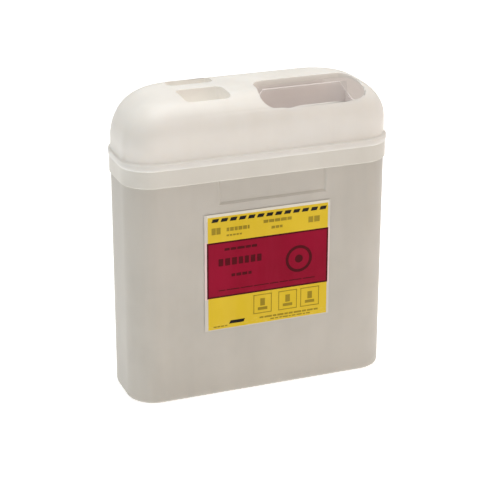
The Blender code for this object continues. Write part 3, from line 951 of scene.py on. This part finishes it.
def wordBars(seed, left, right, middle, height, word, space):
    # a line of plain bars where a label has small print
    draw = random.Random(seed)
    boxes = []
    x = left
    while x < right - 1.0:
        end = min(right, x + draw.uniform(*word))
        boxes.append((x, end, middle - height / 2, middle + height / 2))
        x = end + space
    return boxes


def frameBoxes(left, right):
    # outline of one frame, with a foot and a post in it in place of its picture
    low, high = label["frameHeights"]
    line = label["frameLine"]
    footHalf, footLow, footHigh = label["frameFoot"]
    postHalf, postLow, postTop = label["framePost"]
    middle = (left + right) / 2
    return [
        (left, right, low, low + line), (left, right, high - line, high),
        (left, left + line, low, high), (right - line, right, low, high),
        (middle - footHalf, middle + footHalf, low + footLow, low + footHigh),
        (middle - postHalf, middle + postHalf, low + postLow, high - postTop),
    ]


def makeLabel():
    patchPiece("labelFilm", "clearFilm", (label["film"],), 0, replaced=("front_label",))
    left, right, low, high = label["band"]
    border = label["bandBorder"]
    patchPiece("labelTopStrip", "paleInk", (label["topStrip"],), 1)
    patchPiece("labelMargin", "pinkInk", (label["margin"],), 1)
    patchPiece("labelYellow", "yellowInk", (label["yellow"],), 1.5)
    patchPiece("labelBorder", "maroonInk", (label["band"],), 2)
    inner = (left + border, right - border, low + border, high - border)
    patchPiece("labelBand", "crimsonInk", (inner,), 3)

    # row of slanted dashes along the top
    dashes = []
    start = Vector(label["dashFrom"])
    end = Vector(label["dashTo"])
    width, height = label["dashSize"]
    for i in range(label["dashes"]):
        x, z = start.lerp(end, i / (label["dashes"] - 1))
        x -= label["dashShift"]
        dashes.append((x - width / 2, x + width / 2, z - height / 2, z + height / 2))
    patchPiece("labelDashes", "blackInk", dashes, 4, label["dashSlant"])

    # small print as plain bars
    olive = list(label["squares"])
    for line in label["oliveLines"]:
        olive += wordBars(*line)
    for frameSides in label["frames"]:
        olive += frameBoxes(*frameSides)
    patchPiece("labelSmallPrint", "oliveInk", olive, 4)
    patchPiece("labelBar", "blackInk", (label["bar"],), 4, label["barSlant"])

    dark = []
    for line in label["bandLines"]:
        dark += wordBars(*line)
    patchPiece("labelBandPrint", "maroonInk", dark, 4)


def makeRing():
    # plain ring with a dot, in place of the printed symbol
    centre = Vector((label["ringCentre"][0] * mm, layerY(4), label["ringCentre"][1] * mm))
    face = Matrix.Translation(centre) @ Matrix.Rotation(math.radians(90), 4, "X")
    bm = bmesh.new()
    bmesh.ops.create_circle(
        bm, cap_ends=True, segments=label["ringSteps"], radius=label["ringRadius"] * mm,
        matrix=face,
    )
    disc = bm.faces[:]
    bmesh.ops.inset_region(
        bm, faces=disc, thickness=label["ringWidth"] * mm, use_boundary=True, use_even_offset=True
    )
    bmesh.ops.delete(bm, geom=disc, context="FACES_ONLY")
    bmesh.ops.create_circle(
        bm, cap_ends=True, segments=label["dotSteps"], radius=label["dotRadius"] * mm,
        matrix=face,
    )
    bmesh.ops.recalc_face_normals(bm, faces=bm.faces)
    for flat in bm.faces:
        if flat.normal.y > 0:
            flat.normal_flip()
    grown = bmesh.ops.extrude_face_region(bm, geom=bm.faces[:], use_keep_orig=True)["geom"]
    verts = [item for item in grown if isinstance(item, bmesh.types.BMVert)]
    bmesh.ops.translate(bm, verts=verts, vec=(0, label["ringLayers"] * label["layer"], 0))
    bmesh.ops.recalc_face_normals(bm, faces=bm.faces)
    piece = meshObject("labelRing", bm, (finishes["maroonInk"],))
    return finishPiece(piece, "container")


makeLabel()
makeRing()
print("label made")


# mechanism nodes that stay as they are
nodeFinishes = {
    "tray_counterweight": "zincSteel",
    "weight_rivet_left": "zincSteel",
    "weight_rivet_right": "zincSteel",
    "pivot_pin_left": "zincSteel",
    "pivot_pin_right": "zincSteel",
    "pivot_bush_left": "acetal",
    "pivot_bush_right": "acetal",
    # the cradle takes the inside finish, with its painted glow that brightens it in shade
    "tray_cradle": "innerPolypropylenePaintedLight",
    "cradle_stake_1": "whitePolypropylene",
    "cradle_stake_2": "whitePolypropylene",
    "cradle_stake_3": "whitePolypropylene",
    "cradle_stake_4": "whitePolypropylene",
}
for nodeName, finish in nodeFinishes.items():
    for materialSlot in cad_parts[nodeName].material_slots:
        materialSlot.material = finishes[finish]
print("mechanism finished")


# floor and light
studio = {
    "floorSize": 14.0,
    "floorColour": (0.93, 0.93, 0.93),
    "floorGlow": 0.62,
    "floorRoughness": 0.9,
    "floorSpecular": 0.1,
    "sky": 0.25,
    "skyColour": (1.0, 0.975, 0.93),
    # name: place, aim, size, watts, colour
    "lights": {
        "overhead": ((0.05, 0.1, 2.2), (0.0, 0.0, 0.2), 1.6, 40.0, (1.0, 0.995, 0.98)),
        "frontRight": ((1.25, -1.5, 0.75), (0.08, 0.0, 0.15), 1.2, 4.0, (1.0, 0.52, 0.26)),
        "leftSide": ((-1.9, -0.9, 0.9), (-0.1, 0.0, 0.15), 1.0, 0.3, (0.95, 1.0, 0.97)),
    },
}


def makeFloor():
    bm = bmesh.new()
    bmesh.ops.create_grid(bm, x_segments=8, y_segments=8, size=studio["floorSize"] / 2)
    made = bpy.data.materials.new("paleFloor")
    made.use_nodes = True
    shader = made.node_tree.nodes["Principled BSDF"]
    shader.inputs["Base Color"].default_value = (*studio["floorColour"], 1.0)
    shader.inputs["Roughness"].default_value = studio["floorRoughness"]
    shader.inputs["Specular IOR Level"].default_value = studio["floorSpecular"]
    shader.inputs["Emission Color"].default_value = (1.0, 1.0, 1.0, 1.0)
    shader.inputs["Emission Strength"].default_value = studio["floorGlow"]
    meshObject("floorSheet", bm, (made,))


def makeLights():
    world = bpy.data.worlds.new("studioSky")
    world.use_nodes = True
    sky = world.node_tree.nodes["Background"]
    sky.inputs["Color"].default_value = (*studio["skyColour"], 1.0)
    sky.inputs["Strength"].default_value = studio["sky"]
    scene.world = world
    for name, (place, aim, size, watts, colour) in studio["lights"].items():
        data = bpy.data.lights.new(name, "AREA")
        data.energy = watts
        data.size = size
        data.color = colour
        made = bpy.data.objects.new(name, data)
        made.location = place
        toward = Vector(aim) - Vector(place)
        made.rotation_euler = toward.to_track_quat("-Z", "Y").to_euler()
        scene.collection.objects.link(made)


makeFloor()
makeLights()
scene.view_settings.view_transform = "Standard"
print("floor and lights made")
